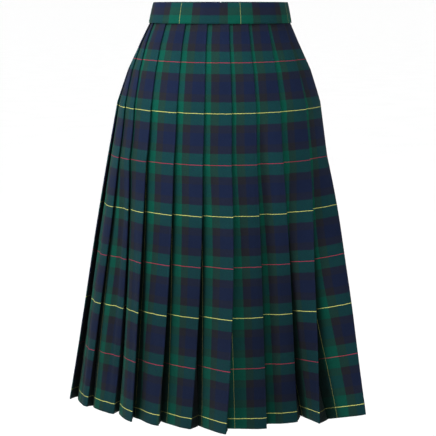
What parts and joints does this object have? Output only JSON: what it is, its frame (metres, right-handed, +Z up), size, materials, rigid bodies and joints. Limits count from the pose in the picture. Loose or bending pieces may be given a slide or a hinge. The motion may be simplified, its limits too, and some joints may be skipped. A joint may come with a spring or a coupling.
{
  "type": "pleated tartan skirt",
  "caption": "Flared midi skirt in tartan cloth: knife pleats pressed one way from a plain fitted waistband, hollow as worn, closed by a concealed zip at the back.",
  "frame": {"origin": "middle of the waist opening, level with the waistband's top edge", "axes": "+Z up through the waist opening, front of the skirt towards -Y, wearer's left towards +X"},
  "size_m": [0.5285, 0.4015, 0.7291],
  "materials": {
    "tartan_cloth": "wool-look twill tartan, dark green, navy and black with fine red and yellow lines, soft sheen",
    "waistband_cloth": "the same twill, folded and pressed",
    "zip_tape": "woven polyester tape with a moulded coil",
    "zip_metal": "dark enamelled metal, slightly worn at the edges"
  },
  "bodies": {
    "skirt": {"waistband": "waistband_cloth", "skirt_front": "tartan_cloth", "skirt_back_left": "tartan_cloth", "skirt_back_right": "tartan_cloth", "zip_tape": "zip_tape", "zip_slider": "zip_metal"},
    "pull_tab": {"zip_pull_tab": "zip_metal"}
  },
  "joints": [
    {"name": "pull_tab_hinge", "type": "hinge", "parent": "skirt", "child": "pull_tab", "pos_m": [0, 0.09401, -0.00796], "axis": [1, 0, 0], "range_deg": [0, 150]}
  ]
}
